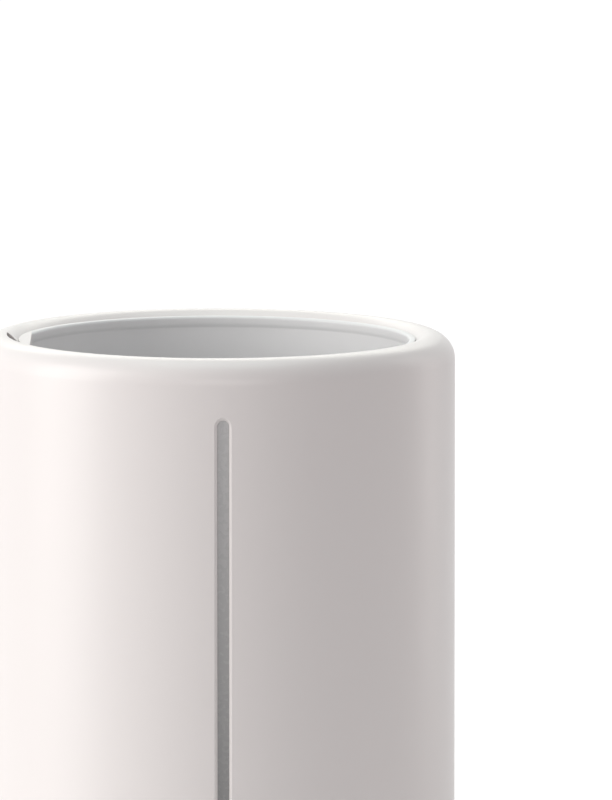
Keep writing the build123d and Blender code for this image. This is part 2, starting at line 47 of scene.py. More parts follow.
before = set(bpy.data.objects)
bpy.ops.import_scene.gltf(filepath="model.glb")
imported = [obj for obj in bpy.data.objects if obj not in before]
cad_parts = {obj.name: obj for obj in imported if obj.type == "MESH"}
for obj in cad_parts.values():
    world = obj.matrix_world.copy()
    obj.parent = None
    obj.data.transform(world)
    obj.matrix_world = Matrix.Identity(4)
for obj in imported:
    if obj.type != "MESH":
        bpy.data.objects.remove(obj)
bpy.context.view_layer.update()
MM = 0.001


# ---------------- sizes read from the frame ----------------


def centre_of(node):
    """Middle of a CAD node's box."""
    low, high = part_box(node)
    return (low + high) / 2


SHELL_LOW, SHELL_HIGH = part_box("tank_shell")
BODY_R = SHELL_HIGH.x
RIM_TOP = SHELL_HIGH.z
SEAM_Z = SHELL_LOW.z
LINER_LOW, LINER_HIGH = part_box("tank_liner")
TANK_OUT = LINER_HIGH.x
BEAD_TOP = LINER_HIGH.z
FLOOR_LOW, FLOOR_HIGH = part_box("tank_floor")
SEAT_LOW, SEAT_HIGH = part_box("valve_seat")
WINDOW_LOW, WINDOW_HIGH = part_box("level_window")
OUTLET_LOW, OUTLET_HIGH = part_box("mist_outlet")
BUTTON_LOW, BUTTON_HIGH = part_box("power_button")
LID_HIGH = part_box("lid_disc")[1]
GASKET_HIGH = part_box("lid_gasket")[1]


# ---------------- properties ----------------


class HumidifierSizes(PropertyGroup):
    """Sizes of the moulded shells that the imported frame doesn't give by itself."""

    wall: FloatProperty(
        name="Shell wall", description="Wall of the outer shells", default=2.5 * MM, unit="LENGTH"
    )
    rim_round: FloatProperty(
        name="Rim round", description="Radius of the rim's outer round", default=10.1 * MM, unit="LENGTH"
    )
    rim_dish: FloatProperty(
        name="Rim dish", description="Crest down to the rim's inner edge", default=2.9 * MM, unit="LENGTH"
    )
    rim_gap: FloatProperty(
        name="Rim gap", description="Groove between the rim and the tank's bead",
        default=0.1 * MM, unit="LENGTH"
    )
    tank_wall: FloatProperty(
        name="Tank wall", description="Wall of the inner tank", default=1.8 * MM, unit="LENGTH"
    )
    bead_in: FloatProperty(
        name="Bead width", description="How far the bead stands inside the tank's wall",
        default=0.8 * MM, unit="LENGTH"
    )
    bead_round: FloatProperty(
        name="Bead round", description="Rounding of the bead's inner edge", default=1.1 * MM, unit="LENGTH"
    )
    bead_corner: FloatProperty(
        name="Bead corner", description="Rounding of the bead's outer edge", default=0.5 * MM, unit="LENGTH"
    )
    crease_depth: FloatProperty(
        name="Crease depth", description="Top of the bead down to its lower end",
        default=4.8 * MM, unit="LENGTH"
    )
    slot_radius: FloatProperty(
        name="Mist slot radius", description="Outer edge of the crescent slot in the rim",
        default=83.9 * MM, unit="LENGTH"
    )
    slot_width: FloatProperty(
        name="Mist slot width", description="Widest part of the crescent", default=5.0 * MM, unit="LENGTH"
    )
    window_width: FloatProperty(
        name="Window width", description="Width of the water level slot", default=4.6 * MM, unit="LENGTH"
    )
    window_bevel: FloatProperty(
        name="Window bevel", description="Rounding round the water level slot",
        default=1.2 * MM, unit="LENGTH"
    )
    window_recess: FloatProperty(
        name="Window recess", description="Shell's outside to the strip's face",
        default=1.4 * MM, unit="LENGTH"
    )
    steps: IntProperty(name="Steps", description="Segments round a full turn", default=256, min=32)


class HumidifierColours(PropertyGroup):
    """Base colours of the finishes."""

    shell: FloatVectorProperty(
        name="Shell", description="Matt white mouldings", default=(0.80, 0.775, 0.765), subtype="COLOR"
    )
    liner: FloatVectorProperty(
        name="Liner", description="Inner tank", default=(0.80, 0.81, 0.815), subtype="COLOR"
    )
    window: FloatVectorProperty(
        name="Window", description="Water level strip", default=(0.52, 0.525, 0.525), subtype="COLOR"
    )
    rubber: FloatVectorProperty(
        name="Rubber", description="Seals and foot", default=(0.10, 0.10, 0.105), subtype="COLOR"
    )
    dark: FloatVectorProperty(
        name="Dark plastic", description="Fan and inlet", default=(0.02, 0.02, 0.022), subtype="COLOR"
    )
    board: FloatVectorProperty(
        name="Board", description="Circuit boards", default=(0.012, 0.10, 0.05), subtype="COLOR"
    )
    metal: FloatVectorProperty(
        name="Metal", description="Screws and springs", default=(0.55, 0.55, 0.56), subtype="COLOR"
    )
    brass: FloatVectorProperty(
        name="Brass", description="Inlet pins", default=(0.70, 0.52, 0.25), subtype="COLOR"
    )
    foam: FloatVectorProperty(
        name="Float", description="Float foam", default=(0.30, 0.47, 0.62), subtype="COLOR"
    )


def sizes():
    """The scene's size settings."""
    return bpy.context.scene.humidifier_sizes


def colours():
    """The scene's colour settings."""
    return bpy.context.scene.humidifier_colours


# ---------------- shared shader groups ----------------


def group_socket(group, name, in_out, kind, default=None):
    """Add one named socket to a node group."""
    socket = group.interface.new_socket(name=name, in_out=in_out, socket_type=kind)
    if default is not None:
        socket.default_value = default
    return socket


def grain_group():
    """Fine moulded grain: a height for bumps and a mask that breaks up the gloss."""
    group = bpy.data.node_groups.get("moulded_grain")
    if group:
        return group
    group = bpy.data.node_groups.new("moulded_grain", "ShaderNodeTree")
    group_socket(group, "Scale", "INPUT", "NodeSocketFloat", 900.0)
    group_socket(group, "Low", "INPUT", "NodeSocketFloat", 0.42)
    group_socket(group, "High", "INPUT", "NodeSocketFloat", 0.55)
    group_socket(group, "Height", "OUTPUT", "NodeSocketFloat")
    group_socket(group, "Roughness", "OUTPUT", "NodeSocketFloat")
    nodes, links = group.nodes, group.links
    inputs = nodes.new("NodeGroupInput")
    outputs = nodes.new("NodeGroupOutput")
    place = nodes.new("ShaderNodeTexCoord")
    grain = nodes.new("ShaderNodeTexNoise")
    grain.inputs["Detail"].default_value = 3.0
    cloud = nodes.new("ShaderNodeTexNoise")
    cloud.inputs["Scale"].default_value = 35.0
    cloud.inputs["Detail"].default_value = 4.0
    mix = nodes.new("ShaderNodeMix")
    mix.data_type = "FLOAT"
    mix.inputs["Factor"].default_value = 0.35
    spread = nodes.new("ShaderNodeMapRange")
    spread.inputs["From Min"].default_value = 0.3
    spread.inputs["From Max"].default_value = 0.7
    links.new(place.outputs["Object"], grain.inputs["Vector"])
    links.new(place.outputs["Object"], cloud.inputs["Vector"])
    links.new(inputs.outputs["Scale"], grain.inputs["Scale"])
    links.new(grain.outputs["Fac"], outputs.inputs["Height"])
    links.new(grain.outputs["Fac"], mix.inputs["A"])
    links.new(cloud.outputs["Fac"], mix.inputs["B"])
    links.new(mix.outputs["Result"], spread.inputs["Value"])
    links.new(inputs.outputs["Low"], spread.inputs["To Min"])
    links.new(inputs.outputs["High"], spread.inputs["To Max"])
    links.new(spread.outputs["Result"], outputs.inputs["Roughness"])
    return group


def drift_group():
    """Slow change between two near colours, as in moulded plastic."""
    group = bpy.data.node_groups.get("colour_drift")
    if group:
        return group
    group = bpy.data.node_groups.new("colour_drift", "ShaderNodeTree")
    group_socket(group, "Colour", "INPUT", "NodeSocketColor", (0.8, 0.8, 0.8, 1))
    group_socket(group, "Other", "INPUT", "NodeSocketColor", (0.7, 0.7, 0.7, 1))
    group_socket(group, "Scale", "INPUT", "NodeSocketFloat", 12.0)
    group_socket(group, "Colour", "OUTPUT", "NodeSocketColor")
    nodes, links = group.nodes, group.links
    inputs = nodes.new("NodeGroupInput")
    outputs = nodes.new("NodeGroupOutput")
    place = nodes.new("ShaderNodeTexCoord")
    cloud = nodes.new("ShaderNodeTexNoise")
    cloud.inputs["Detail"].default_value = 5.0
    mix = nodes.new("ShaderNodeMix")
    mix.data_type = "RGBA"
    links.new(place.outputs["Object"], cloud.inputs["Vector"])
    links.new(inputs.outputs["Scale"], cloud.inputs["Scale"])
    links.new(cloud.outputs["Fac"], mix.inputs["Factor"])
    links.new(inputs.outputs["Colour"], mix.inputs["A"])
    links.new(inputs.outputs["Other"], mix.inputs["B"])
    links.new(mix.outputs["Result"], outputs.inputs["Colour"])
    return group


def place_group(tree, group):
    """Put a shared group into a material."""
    node = tree.nodes.new("ShaderNodeGroup")
    node.node_tree = group
    return node


def plastic(name, colour, rough=(0.42, 0.55), grain=900.0, depth=0.08, drift=0.97, coat=0.0):
    """A moulded finish: drifting colour, broken gloss and a fine grain."""
    material = bpy.data.materials.new(name)
    material.use_nodes = True
    tree = material.node_tree
    shader = tree.nodes["Principled BSDF"]
    shader.inputs["Coat Weight"].default_value = coat
    tint = place_group(tree, drift_group())
    tint.inputs["Colour"].default_value = (*colour, 1)
    tint.inputs["Other"].default_value = (*[c * drift for c in colour], 1)
    texture = place_group(tree, grain_group())
    texture.inputs["Scale"].default_value = grain
    texture.inputs["Low"].default_value = rough[0]
    texture.inputs["High"].default_value = rough[1]
    bump = tree.nodes.new("ShaderNodeBump")
    bump.inputs["Strength"].default_value = depth
    bump.inputs["Distance"].default_value = 0.0002
    tree.links.new(tint.outputs["Colour"], shader.inputs["Base Color"])
    tree.links.new(texture.outputs["Roughness"], shader.inputs["Roughness"])
    tree.links.new(texture.outputs["Height"], bump.inputs["Height"])
    tree.links.new(bump.outputs["Normal"], shader.inputs["Normal"])
    return material


def metal(name, colour, rough=(0.25, 0.4), grain=1500.0, depth=0.05):
    """A bare metal with fine wear."""
    material = plastic(name, colour, rough, grain, depth, 0.9)
    material.node_tree.nodes["Principled BSDF"].inputs["Metallic"].default_value = 1.0
    return material


MATERIALS = {}


def build_materials():
    """Make every finish once."""
    c = colours()
    MATERIALS["shell"] = plastic("matt_white", c.shell, (0.30, 0.40), 1100.0, 0.04, 0.99)
    MATERIALS["gloss"] = plastic("button_white", c.shell, (0.18, 0.26), 300.0, 0.01, 0.98, 0.2)
    MATERIALS["liner"] = plastic("liner_grey", c.liner, (0.38, 0.50), 700.0, 0.04, 0.96)
    MATERIALS["window"] = window_material(c.window)
    MATERIALS["lamp"] = plastic("light_guide", (0.62, 0.70, 0.74), (0.2, 0.3), 500.0, 0.02, 0.95, 0.3)
    MATERIALS["rubber"] = plastic("soft_rubber", c.rubber, (0.65, 0.8), 500.0, 0.15, 0.85)
    MATERIALS["dark"] = plastic("dark_plastic", c.dark, (0.4, 0.55), 900.0, 0.08, 0.8)
    MATERIALS["board"] = plastic("board_green", c.board, (0.25, 0.4), 250.0, 0.06, 0.6, 0.3)
    MATERIALS["steel"] = metal("steel", c.metal)
    MATERIALS["alu"] = metal("cast_aluminium", (0.68, 0.68, 0.69), (0.35, 0.5), 600.0, 0.12)
    MATERIALS["brass"] = metal("brass", c.brass)
    MATERIALS["ceramic"] = plastic("ceramic_glaze", (0.74, 0.73, 0.69), (0.12, 0.2), 400.0, 0.02, 0.94, 0.4)
    MATERIALS["foam"] = plastic("float_foam", c.foam, (0.7, 0.85), 420.0, 0.5, 0.86)
    MATERIALS["filter"] = plastic("filter_foam", (0.035, 0.035, 0.037), (0.8, 0.95), 260.0, 1.0, 0.5)


def window_material(colour):
    """Smoked clear strip with painted shade: its colour is darkened towards the foot, standing in for the
    less light that comes through the tank there.
    """
    material = plastic("level_window", colour, (0.22, 0.32), 500.0, 0.02, 0.97, 0.25)
    tree = material.node_tree
    shader = tree.nodes["Principled BSDF"]
    place = tree.nodes.new("ShaderNodeTexCoord")
    split = tree.nodes.new("ShaderNodeSeparateXYZ")
    # painted shade: the strip's colour is multiplied down towards its foot
    painted_shade_ramp = tree.nodes.new("ShaderNodeMapRange")
    painted_shade_ramp.inputs["From Min"].default_value = WINDOW_LOW.z
    painted_shade_ramp.inputs["From Max"].default_value = WINDOW_HIGH.z
    painted_shade_ramp.inputs["To Min"].default_value = 0.34
    painted_shade_ramp.inputs["To Max"].default_value = 1.0
    shade = tree.nodes.new("ShaderNodeMix")
    shade.data_type = "RGBA"
    shade.blend_type = "MULTIPLY"
    shade.inputs["Factor"].default_value = 1.0
    tint = next(n for n in tree.nodes if n.type == "GROUP" and n.node_tree.name == "colour_drift")
    tree.links.new(place.outputs["Object"], split.inputs["Vector"])
    tree.links.new(split.outputs["Z"], painted_shade_ramp.inputs["Value"])
    tree.links.new(tint.outputs["Colour"], shade.inputs["A"])
    tree.links.new(painted_shade_ramp.outputs["Result"], shade.inputs["B"])
    tree.links.new(shade.outputs["Result"], shader.inputs["Base Color"])
    return material


# ---------------- mesh helpers ----------------


def arc(x, z, radius, start, stop, count=8):
    """Points of an arc in the XZ plane, angles in degrees, ends included."""
    points = []
    for step in range(count + 1):
        angle = math.radians(start + (stop - start) * step / count)
        points.append((x + radius * math.cos(angle), z + radius * math.sin(angle)))
    return points


def turned(points, x=0.0, y=0.0, steps=None, close=True):
    """Spin a profile of (radius, height) points round the vertical line at x, y."""
    bm = bmesh.new()
    verts = [bm.verts.new((x + r, y, z)) for r, z in points]
    for a, b in zip(verts, verts[1:]):
        bm.edges.new((a, b))
    if close:
        bm.edges.new((verts[-1], verts[0]))
    bmesh.ops.spin(
        bm,
        geom=bm.verts[:] + bm.edges[:],
        cent=(x, y, 0),
        axis=(0, 0, 1),
        angle=2 * math.pi,
        steps=steps or sizes().steps,
        use_merge=True,
    )
    bmesh.ops.remove_doubles(bm, verts=bm.verts[:], dist=1e-6)
    bmesh.ops.recalc_face_normals(bm, faces=bm.faces[:])
    return bm


def to_object(name, bm):
    """Make an object from a bmesh at the origin."""
    mesh = bpy.data.meshes.new(name)
    bm.to_mesh(mesh)
    bm.free()
    obj = bpy.data.objects.new(name, mesh)
    bpy.context.scene.collection.objects.link(obj)
    return obj


def bake(obj):
    """Replace an object's mesh with what its modifiers give."""
    bpy.context.view_layer.update()
    graph = bpy.context.evaluated_depsgraph_get()
    mesh = bpy.data.meshes.new_from_object(obj.evaluated_get(graph))
    obj.modifiers.clear()
    obj.data = mesh
    return obj


def combine(obj, tool, operation="DIFFERENCE"):
    """Cut a tool object out of obj, or keep what they share, and remove the tool."""
    change = obj.modifiers.new("cut", "BOOLEAN")
    change.operation = operation
    change.solver = "EXACT"
    change.object = tool
    bake(obj)
    bpy.data.objects.remove(tool)
    if not obj.data.polygons:
        raise RuntimeError(f"{obj.name} came out empty")
    return obj


def soften(obj, width, segments=3, angle=35.0):
    """Round the sharp edges and keep the flats flat."""
    bevel = obj.modifiers.new("rounding", "BEVEL")
    bevel.width = width
    bevel.segments = segments
    bevel.limit_method = "ANGLE"
    bevel.angle_limit = math.radians(angle)
    bevel.use_clamp_overlap = True
    bake(obj)
    return obj


def shade(obj, angle=35.0):
    """Smooth shading that breaks at sharp edges."""
    bm = bmesh.new()
    bm.from_mesh(obj.data)
    bmesh.ops.remove_doubles(bm, verts=bm.verts[:], dist=1e-7)
    limit = math.radians(angle)
    for face in bm.faces:
        face.smooth = True
    for edge in bm.edges:
        edge.smooth = len(edge.link_faces) == 2 and edge.calc_face_angle(0) < limit
    bm.to_mesh(obj.data)
    bm.free()
    even = obj.modifiers.new("even_shading", "WEIGHTED_NORMAL")
    even.keep_sharp = True
    return obj


def finish_piece(obj, body, finish, replaces=()):
    """Give a new piece its material, its body and the nodes that it stands for."""
    obj.data.materials.clear()
    obj.data.materials.append(MATERIALS[finish])
    shade(obj)
    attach(obj, body)
    if replaces:
        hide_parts(*replaces)
    return obj


def solid_box(low, high):
    """A box between two corners."""
    bm = bmesh.new()
    middle = (Vector(low) + Vector(high)) / 2
    size = Vector(high) - Vector(low)
    matrix = Matrix.Translation(middle) @ Matrix.Diagonal((*size, 1))
    bmesh.ops.create_cube(bm, size=1.0, matrix=matrix)
    return to_object("tool", bm)


def stadium(x, y0, y1, z0, z1, width):
    """A slot-shaped prism standing on end, from y0 to y1."""
    bm = bmesh.new()
    half = width / 2
    outline = arc(x, z1 - half, half, 0, 180, 24) + arc(x, z0 + half, half, 180, 360, 24)
    face = bm.faces.new([bm.verts.new((px, y0, pz)) for px, pz in outline])
    grown = bmesh.ops.extrude_face_region(bm, geom=[face])
    moved = [g for g in grown["geom"] if isinstance(g, bmesh.types.BMVert)]
    bmesh.ops.translate(bm, verts=moved, vec=(0, y1 - y0, 0))
    bmesh.ops.recalc_face_normals(bm, faces=bm.faces[:])
    return to_object("tool", bm)


def flare(obj, y, amount):
    """Widen the front end of a slot-shaped prism by amount all round."""
    bm = bmesh.new()
    bm.from_mesh(obj.data)
    front = [f for f in bm.faces if f.calc_center_median().y < y + MM * 0.01 and len(f.verts) > 4]
    if len(front) != 1:
        raise RuntimeError("the slot's front face wasn't found")
    middle = front[0].calc_center_bounds()
    half = max(v.co.x - middle.x for v in front[0].verts)
    reach = max(v.co.z - middle.z for v in front[0].verts) - half
    for vert in front[0].verts:
        end = middle.z + max(-reach, min(reach, vert.co.z - middle.z))
        away = Vector((vert.co.x - middle.x, 0, vert.co.z - end))
        vert.co += away.normalized() * amount
    bm.to_mesh(obj.data)
    bm.free()
    return obj


def prism(outline, z0, z1, mouth=0.0, name="tool"):
    """Raise a closed outline from z0 to z1, its upper end widened by mouth."""
    bm = bmesh.new()
    face = bm.faces.new([bm.verts.new((point.x, point.y, z0)) for point in outline])
    grown = bmesh.ops.extrude_face_region(bm, geom=[face])
    top = [g for g in grown["geom"] if isinstance(g, bmesh.types.BMVert)]
    middle = sum((Vector(point) for point in outline), Vector()) / len(outline)
    bmesh.ops.translate(bm, verts=top, vec=(0, 0, z1 - z0))
    for vert in top:
        away = Vector((vert.co.x - middle.x, vert.co.y - middle.y, 0))
        vert.co += away.normalized() * mouth
    bmesh.ops.recalc_face_normals(bm, faces=bm.faces[:])
    return to_object(name, bm)


def around(radius, angle):
    """A point by its angle from -X towards the front."""
    turn = math.radians(angle)
    return Vector((-radius * math.cos(turn), -radius * math.sin(turn), 0))


def curve_through(start, middle, end, count=24):
    """Points from start to end on the circle that passes through an evenly placed middle."""
    chord = (start + end) / 2
    half = (end - start).length / 2
    rise = (middle - chord).length
    radius = (half**2 + rise**2) / (2 * rise)
    up, along = (middle - chord).normalized(), (end - start).normalized()
    reach = math.asin(half / radius)
    points = []
    for step in range(count + 1):
        angle = reach * (2 * step / count - 1)
        lift = rise - radius + radius * math.cos(angle)
        points.append(chord + up * lift + along * radius * math.sin(angle))
    return points


def moulded(node, body, finish, width=0.3 * MM, segments=2):
    """A merged copy of a CAD node with its sharp edges rounded, in the node's place."""
    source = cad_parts[node]
    bm = bmesh.new()
    bm.from_mesh(source.data)
    bmesh.ops.transform(bm, matrix=source.matrix_world, verts=bm.verts[:])
    bmesh.ops.remove_doubles(bm, verts=bm.verts[:], dist=2e-6)
    bmesh.ops.dissolve_limit(bm, angle_limit=math.radians(0.4), verts=bm.verts[:], edges=bm.edges[:])
    bmesh.ops.recalc_face_normals(bm, faces=bm.faces[:])
    piece = to_object(f"{node}_moulded", bm)
    soften(piece, width, segments, 40)
    return finish_piece(piece, body, finish, (node,))


# ---------------- tank ----------------

# the mist slot's ends, in degrees from -X towards the front
SLOT_START = -2.4
SLOT_END = 30.0

# how far the window strip reaches past its slot
WINDOW_FLANGE = 2.5 * MM


def window_span():
    """Lowest and highest point of the window slot in the shell."""
    return WINDOW_LOW.z + WINDOW_FLANGE, WINDOW_HIGH.z - WINDOW_FLANGE


def window_mouth(x, low, high):
    """The slot's widened mouth, as a tool that starts just outside the shell."""
    s = sizes()
    lead = 0.1 * MM
    mouth = stadium(x, -BODY_R - lead, -BODY_R + s.window_bevel, low, high, s.window_width)
    return flare(mouth, -BODY_R, s.window_bevel + lead)


def mist_slot():
    """The crescent slot in the rim's dish, as a tool."""
    s = sizes()
    middle = (SLOT_START + SLOT_END) / 2
    start, end = around(s.slot_radius, SLOT_START), around(s.slot_radius, SLOT_END)
    outline = curve_through(start, around(s.slot_radius, middle), end)
    outline += curve_through(end, around(s.slot_radius - s.slot_width, middle), start)[1:-1]
    return prism(outline, RIM_TOP - s.rim_round, RIM_TOP + MM)


class HUMIDIFIER_OT_tank_shell(Operator):
    """Outer shell with its rounded, dished rim and the window slot"""

    bl_idname = "humidifier.tank_shell"
    bl_label = "Tank shell"

    def execute(self, context):
        s = sizes()
        seam_break = 0.8 * MM
        straight_end = 4 * MM
        edge_round, edge_settle = 0.35 * MM, 0.22 * MM
        lip_thick, lip_foot, lip_top = 1.6 * MM, 3.4 * MM, 2.0 * MM
        crest_r = BODY_R - s.rim_round
        crest_z = RIM_TOP - s.rim_round
        edge_r = TANK_OUT + s.rim_gap
        edge_z = RIM_TOP - s.rim_dish
        inner = BODY_R - s.wall
        profile = [(inner, SEAM_Z), (BODY_R - seam_break, SEAM_Z), (BODY_R, SEAM_Z + seam_break)]
        profile += [(BODY_R, SEAM_Z + straight_end), (BODY_R, crest_z - straight_end)]
        profile += arc(crest_r, crest_z, s.rim_round, 0, 90, 20)
        for step in range(1, 9):
            share = step / 8
            dish_r = crest_r + (edge_r + edge_round - crest_r) * share
            profile.append((dish_r, RIM_TOP - s.rim_dish * 0.94 * share * share))
        profile += arc(edge_r + edge_round, edge_z - edge_settle, edge_round, 100, 180, 5)
        profile += [(edge_r, edge_z - lip_foot), (edge_r + lip_thick, edge_z - lip_foot)]
        profile += [(edge_r + lip_thick, edge_z - lip_top)]
        profile += arc(crest_r, crest_z, s.rim_round - s.wall, 78, 0, 10)
        shell = to_object("tank_shell_skin", turned(profile))
        low, high = window_span()
        x = centre_of("level_window").x
        combine(shell, stadium(x, -BODY_R - MM, -inner + 4 * MM, low, high, s.window_width))
        combine(shell, window_mouth(x, low, high))
        combine(shell, mist_slot())
        soften(shell, 0.3 * MM, 2, 30)
        finish_piece(shell, "tank", "shell", ("tank_shell",))
        return {"FINISHED"}


class HUMIDIFIER_OT_level_window(Operator):
    """Water level strip, set back in the shell's slot"""

    bl_idname = "humidifier.level_window"
    bl_label = "Level window"

    def execute(self, context):
        s = sizes()
        low, high = window_span()
        x = centre_of("level_window").x
        pane_r = BODY_R - s.window_recess
        strip_thick = 1.5 * MM
        back_r = BODY_R - s.wall - strip_thick
        spare = 3 * MM
        foot, top = low - spare, high + spare
        band = turned([(back_r, foot), (pane_r, foot), (pane_r, top), (back_r, top)])
        strip = to_object("level_window_strip", band)
        fit = 0.05 * MM
        slot = stadium(x, -BODY_R, -BODY_R + 14 * MM, low + fit, high - fit, s.window_width - 2 * fit)
        combine(strip, slot, "INTERSECT")
        soften(strip, 0.25 * MM, 2, 50)
        finish_piece(strip, "tank", "window", ("level_window",))
        return {"FINISHED"}


class HUMIDIFIER_OT_tank_liner(Operator):
    """Inner tank with its rounded bead and the flat side towards the mist duct"""

    bl_idname = "humidifier.tank_liner"
    bl_label = "Tank liner"

    def execute(self, context):
        s = sizes()
        inner = TANK_OUT - s.tank_wall
        flat = -LINER_LOW.x - s.tank_wall
        bead_r = inner - s.bead_in
        crease = BEAD_TOP - s.crease_depth
        crease_round, bead_foot = 0.8 * MM, 2 * MM
        above = BEAD_TOP + 10 * MM
        far = 2 * BODY_R
        cup = [(0.0, FLOOR_LOW.z), (TANK_OUT, FLOOR_LOW.z)]
        cup += arc(TANK_OUT - s.bead_corner, BEAD_TOP - s.bead_corner, s.bead_corner, 0, 90, 5)
        cup += [(0.0, BEAD_TOP)]
        body = to_object("tank_liner_cup", turned(cup, close=False))
        floor_round = 3 * MM
        room = [(0.0, FLOOR_HIGH.z)]
        room += arc(inner - floor_round, FLOOR_HIGH.z + floor_round, floor_round, -90, 0, 8)
        room += [(inner, crease), (bead_r + s.bead_in * 0.35, crease + crease_round)]
        room += [(bead_r, crease + bead_foot)]
        room += arc(bead_r + s.bead_round, BEAD_TOP - s.bead_round, s.bead_round, 180, 93, 10)
        room += [(room[-1][0], above), (0.0, above)]
        cavity = to_object("cavity", turned(room, close=False))
        combine(cavity, solid_box((-far, -far, 0), (-flat, far, 1)))
        combine(body, solid_box((-far, -far, 0), (LINER_LOW.x, far, OUTLET_LOW.z)))
        combine(body, cavity)
        combine(body, solid_box((-far, -far, OUTLET_LOW.z), (-flat, far, 1)))
        seat_flange = 3 * MM
        port_r = (SEAT_HIGH.y - SEAT_LOW.y) / 2 - seat_flange
        foot, top = FLOOR_LOW.z - MM, FLOOR_HIGH.z + MM
        port = turned([(0, foot), (port_r, foot), (port_r, top), (0, top)], close=False, steps=96)
        combine(body, to_object("port", port))
        finish_piece(body, "tank", "liner", ("tank_liner", "tank_floor"))
        return {"FINISHED"}


class HUMIDIFIER_OT_mist_outlet(Operator):
    """White cover over the mist duct, between the tank's flat side and the rim"""

    bl_idname = "humidifier.mist_outlet"
    bl_label = "Mist outlet cover"

    def execute(self, context):
        reach = math.degrees(math.acos(-OUTLET_HIGH.x / TANK_OUT))
        steps = 24
        outline = [around(TANK_OUT, reach * (step / steps - 1)) for step in range(2 * steps + 1)]
        cover = prism(outline, OUTLET_LOW.z, OUTLET_HIGH.z, name="mist_outlet_cover")
        soften(cover, 0.9 * MM, 4, 40)
        finish_piece(cover, "tank", "shell", ("mist_outlet",))
        return {"FINISHED"}


# ---------------- base ----------------


class HUMIDIFIER_OT_base_casing(Operator):
    """Base housing, bottom plate and the foot ring"""

    bl_idname = "humidifier.base_casing"
    bl_label = "Base casing"

    def execute(self, context):
        moulded("base_housing", "base", "shell", 0.5 * MM, 3)
        moulded("bottom_plate", "base", "shell", 0.3 * MM)
        moulded("foot_ring", "base", "rubber", 1.0 * MM, 4)
        moulded("power_inlet", "base", "dark", 0.4 * MM)
        return {"FINISHED"}


class HUMIDIFIER_OT_power_button(Operator):
    """Dished button in its ring of light"""

    bl_idname = "humidifier.power_button"
    bl_label = "Power button"

    def execute(self, context):
        reach = (BUTTON_HIGH.x - BUTTON_LOW.x) / 2
        deep = BUTTON_HIGH.y - BUTTON_LOW.y
        stud_r, stud = 2.5 * MM, 3.0 * MM
        edge, dish, band, chamfer = 0.9 * MM, 0.7 * MM, 0.6 * MM, 0.3 * MM
        profile = [(0.0, 0.0), (stud_r - chamfer, 0.0), (stud_r, chamfer), (stud_r, stud)]
        profile += [(reach - chamfer, stud), (reach, stud + chamfer)]
        profile += arc(reach - edge, deep - edge, edge, 0, 90, 8)
        hollow = reach - edge - band
        for step in range(9):
            share = 1 - step / 8
            profile.append((hollow * share, deep - dish * (1 - share**2)))
        bm = turned(profile, close=False, steps=128)
        centre = centre_of("power_button")
        place = Matrix.Translation((centre.x, BUTTON_HIGH.y, centre.z))
        bmesh.ops.transform(bm, matrix=place @ Matrix.Rotation(math.radians(90), 4, "X"), verts=bm.verts[:])
        button = to_object("power_button_cap", bm)
        finish_piece(button, "power_button", "gloss", ("power_button",))
        moulded("light_ring", "base", "lamp", 0.15 * MM)
        return {"FINISHED"}


class HUMIDIFIER_OT_basin(Operator):
    """Basin with the disc well, air riser and posts"""

    bl_idname = "humidifier.basin"
    bl_label = "Basin"

    def execute(self, context):
        for node in ("water_basin", "basin_rim", "disc_well", "air_riser"):
            moulded(node, "base", "shell", 0.35 * MM)
        for node in ("valve_post", "float_post"):
            moulded(node, "base", "shell", 0.25 * MM)
        moulded("nebuliser_clamp", "base", "alu", 0.3 * MM)
        moulded("float_ring", "float", "foam", 0.8 * MM, 4)
        return {"FINISHED"}


class HUMIDIFIER_OT_fan(Operator):
    """Axial fan in its square housing"""

    bl_idname = "humidifier.fan"
    bl_label = "Fan"

    def execute(self, context):
        moulded("fan_housing", "base", "dark", 0.3 * MM)
        moulded("fan_impeller", "fan_rotor", "dark", 0.2 * MM)
        return {"FINISHED"}


class HUMIDIFIER_OT_boards(Operator):
    """Driver board with its parts and heatsink"""

    bl_idname = "humidifier.boards"
    bl_label = "Boards"

    def execute(self, context):
        moulded("driver_board", "base", "board", 0.1 * MM)
        moulded("button_board", "base", "board", 0.1 * MM)
        moulded("board_parts", "base", "dark", 0.3 * MM)
        moulded("board_heatsink", "base", "alu", 0.15 * MM)
        return {"FINISHED"}


# ---------------- tank bottom and valve ----------------


class HUMIDIFIER_OT_tank_bottom(Operator):
    """Plate and skirt under the tank, and the valve"""

    bl_idname = "humidifier.tank_bottom"
    bl_label = "Tank bottom and valve"

    def execute(self, context):
        moulded("tank_plate", "tank", "shell", 0.3 * MM)
        moulded("tank_skirt", "tank", "shell", 0.3 * MM)
        moulded("valve_seat", "tank", "shell", 0.2 * MM)
        moulded("valve_plunger", "valve", "gloss", 0.2 * MM)
        return {"FINISHED"}


# ---------------- lid ----------------


